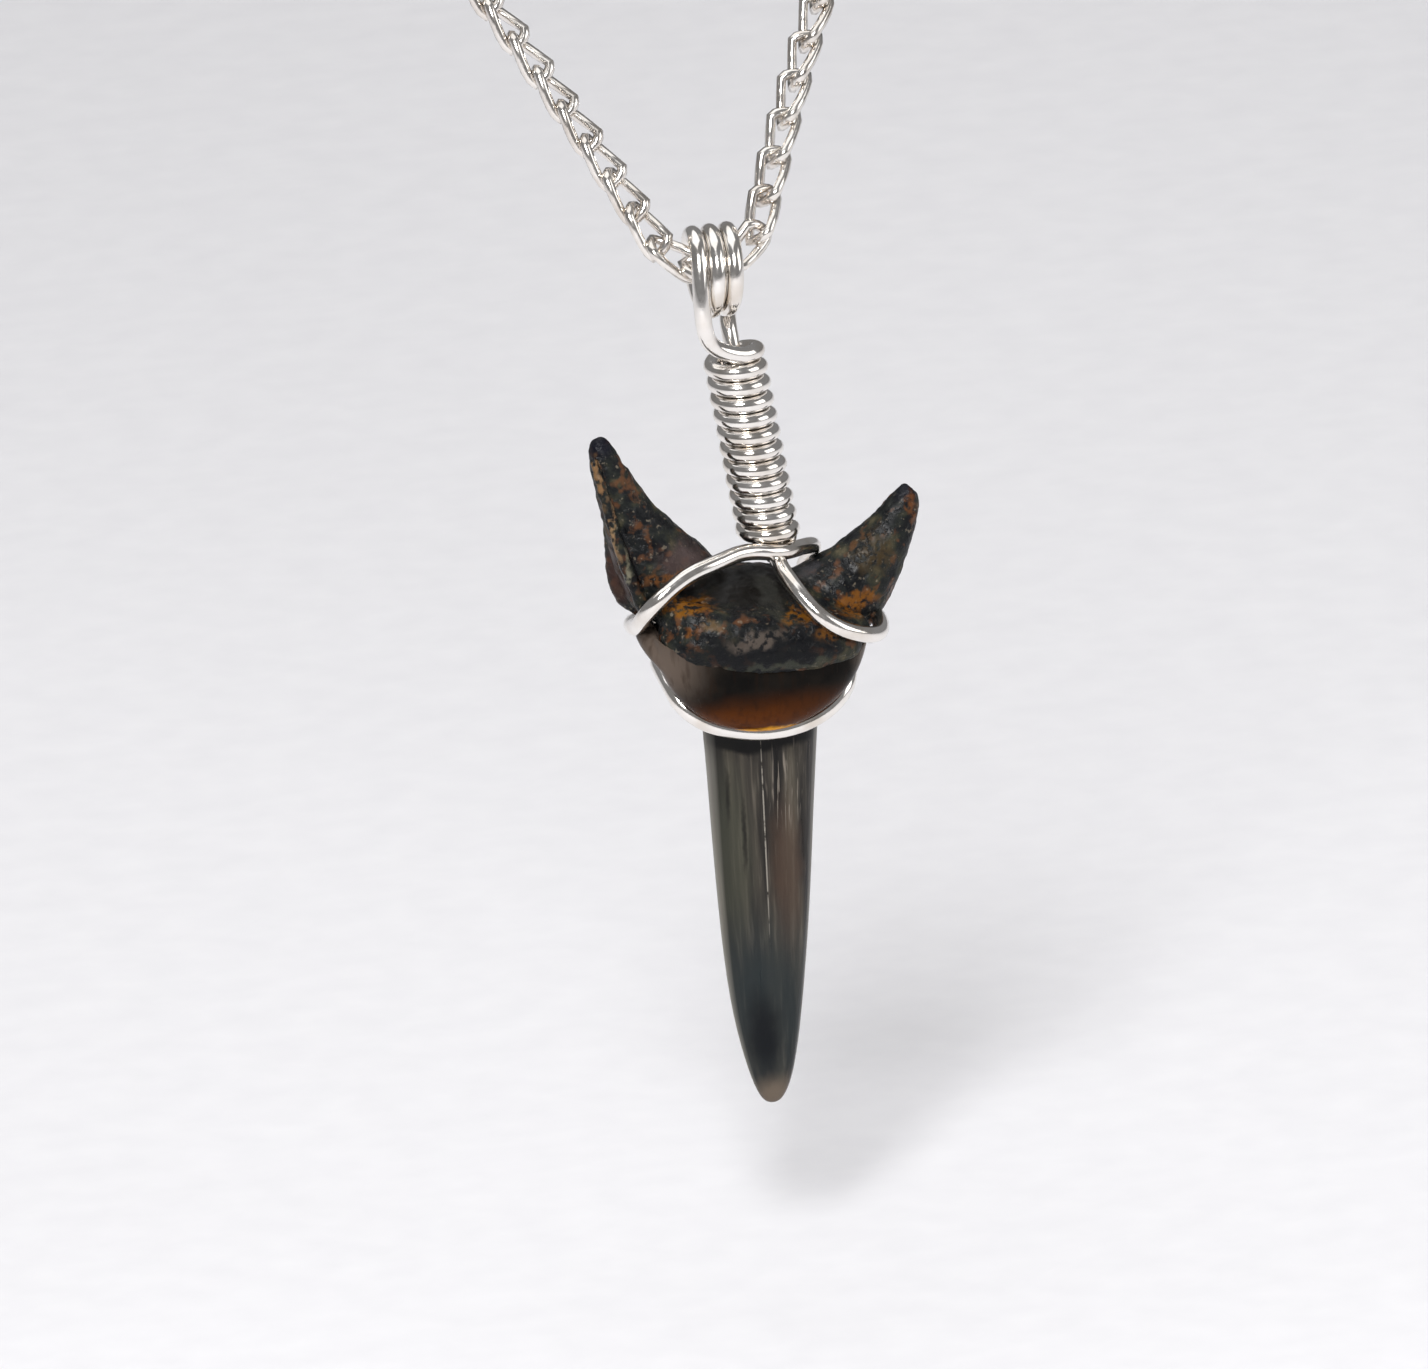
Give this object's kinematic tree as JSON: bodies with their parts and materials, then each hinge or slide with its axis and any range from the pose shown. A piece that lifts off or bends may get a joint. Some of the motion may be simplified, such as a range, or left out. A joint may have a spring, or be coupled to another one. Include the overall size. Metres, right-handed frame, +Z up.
{
  "type": "shark tooth necklace",
  "caption": "Narrow shark tooth held root upward in a silver wire cradle, hanging by a coiled wire bail from a fine silver curb chain worn round the neck.",
  "frame": {"origin": "centre of the clasp ring, where the necklace lies on the nape", "axes": "+Z up, -Y towards the wearer's front, +X across to the side that is on the right in a front view"},
  "size_m": [0.1213, 0.1211, 0.172],
  "materials": {
    "tooth": "glossy fossil enamel, pitted dark root",
    "silver_wire": "polished silver wire",
    "silver_chain": "polished silver chain"
  },
  "bodies": {
    "necklace": {"chain": "silver_chain", "clasp": "silver_chain"},
    "pendant": {"tooth": "tooth", "cradle_wire": "silver_wire", "bail_wire": "silver_wire"}
  },
  "joints": [
    {"name": "pendant_swing", "type": "hinge", "parent": "necklace", "child": "pendant", "pos_m": [0, -0.11289, -0.12913], "axis": [1, 0, 0], "range_deg": [-90, 90]}
  ]
}
